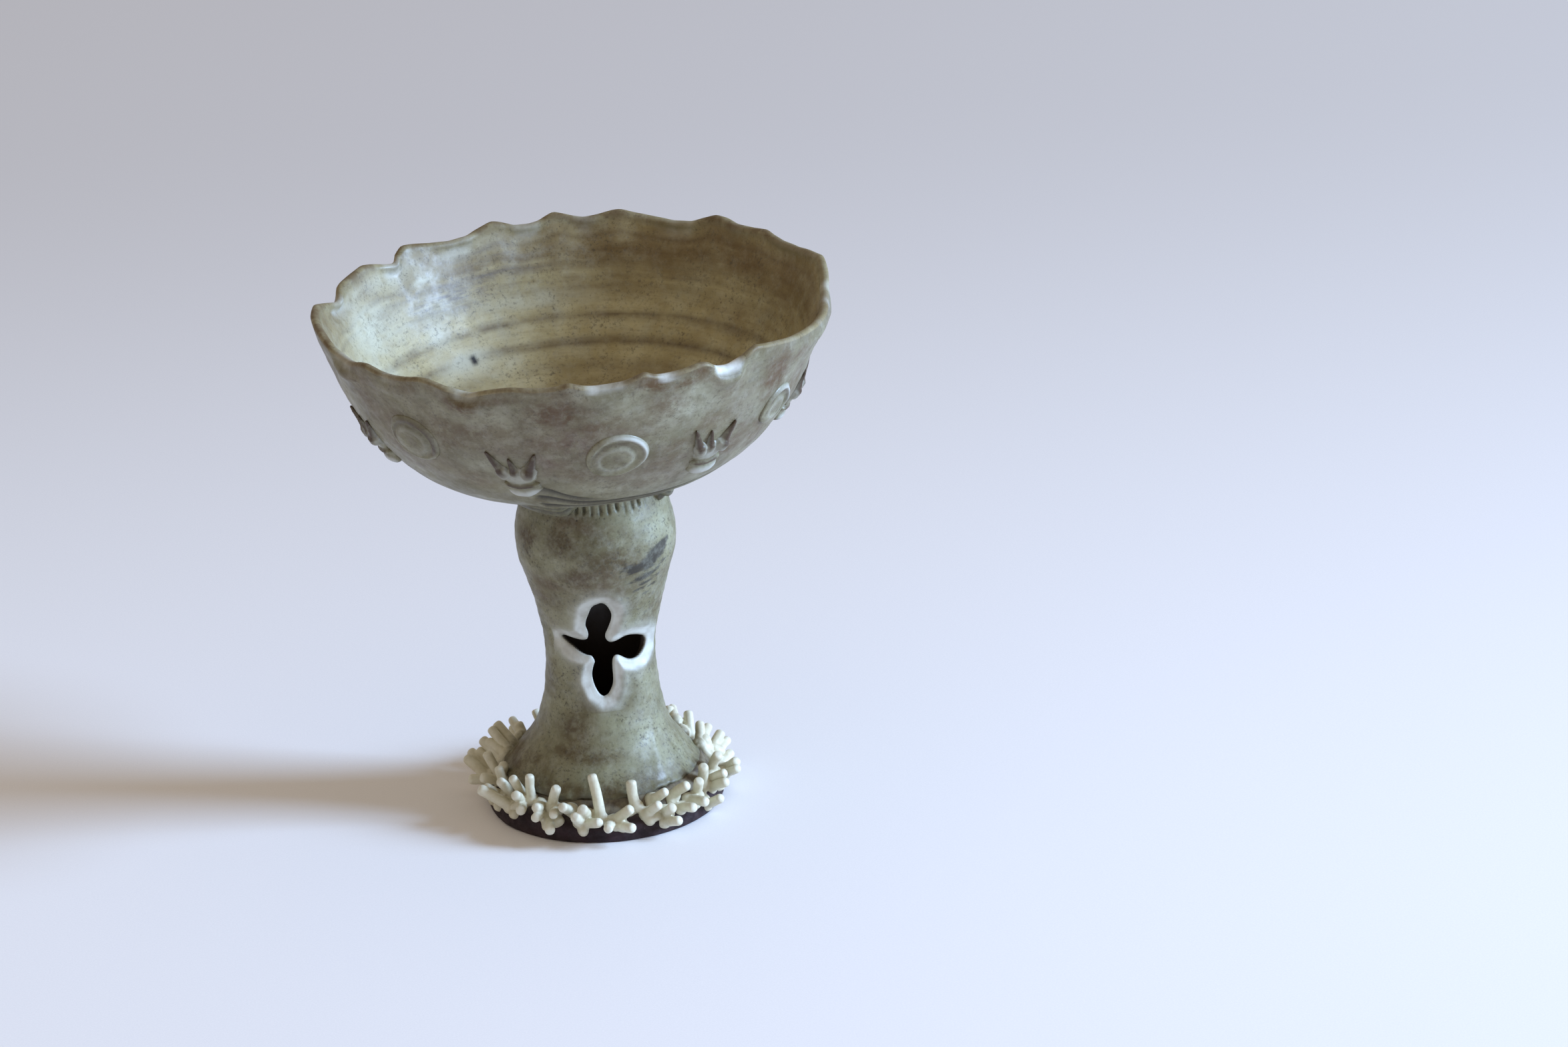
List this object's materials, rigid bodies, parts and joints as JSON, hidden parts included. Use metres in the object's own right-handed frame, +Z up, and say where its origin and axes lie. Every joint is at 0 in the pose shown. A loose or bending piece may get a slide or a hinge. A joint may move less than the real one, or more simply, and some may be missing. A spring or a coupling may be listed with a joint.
{
  "type": "communion chalice",
  "caption": "Hand-thrown stoneware chalice: wide scalloped bowl with applied sprigs, hollow cross-pierced stem and a dark foot ringed by porcelain coral",
  "frame": {"origin": "centre of the flat underside of the foot, on the table", "axes": "+Z up along the stem, cross piercing faces -Y, +X to the right when the cross faces the viewer"},
  "size_m": [0.1601, 0.1601, 0.1714],
  "materials": {
    "bare_clay": "unglazed dark stoneware, matte",
    "stem_glaze": "mottled satin ash glaze",
    "bowl_glaze": "mottled satin ash glaze, brown where it breaks",
    "sprig_glaze": "pale pooled satin glaze over relief",
    "porcelain": "ivory porcelain, satin"
  },
  "bodies": {
    "root": {"foot_slab": "bare_clay", "stem": "stem_glaze", "luting_collar": "stem_glaze", "bowl": "bowl_glaze", "roundel_1": "sprig_glaze", "roundel_2": "sprig_glaze", "roundel_3": "sprig_glaze", "roundel_4": "sprig_glaze", "roundel_5": "sprig_glaze", "roundel_6": "sprig_glaze", "roundel_7": "sprig_glaze", "prong_sprig_1": "sprig_glaze", "prong_sprig_2": "sprig_glaze", "prong_sprig_3": "sprig_glaze", "prong_sprig_4": "sprig_glaze", "prong_sprig_5": "sprig_glaze", "prong_sprig_6": "sprig_glaze", "prong_sprig_7": "sprig_glaze", "coral_01": "porcelain", "coral_02": "porcelain", "coral_03": "porcelain", "coral_04": "porcelain", "coral_05": "porcelain", "coral_06": "porcelain", "coral_07": "porcelain", "coral_08": "porcelain", "coral_09": "porcelain", "coral_10": "porcelain", "coral_11": "porcelain", "coral_12": "porcelain", "coral_13": "porcelain", "coral_14": "porcelain", "coral_15": "porcelain", "coral_16": "porcelain", "coral_17": "porcelain", "coral_18": "porcelain", "coral_19": "porcelain", "coral_20": "porcelain", "coral_21": "porcelain", "coral_22": "porcelain", "coral_23": "porcelain", "coral_24": "porcelain", "coral_25": "porcelain"}
  },
  "joints": []
}
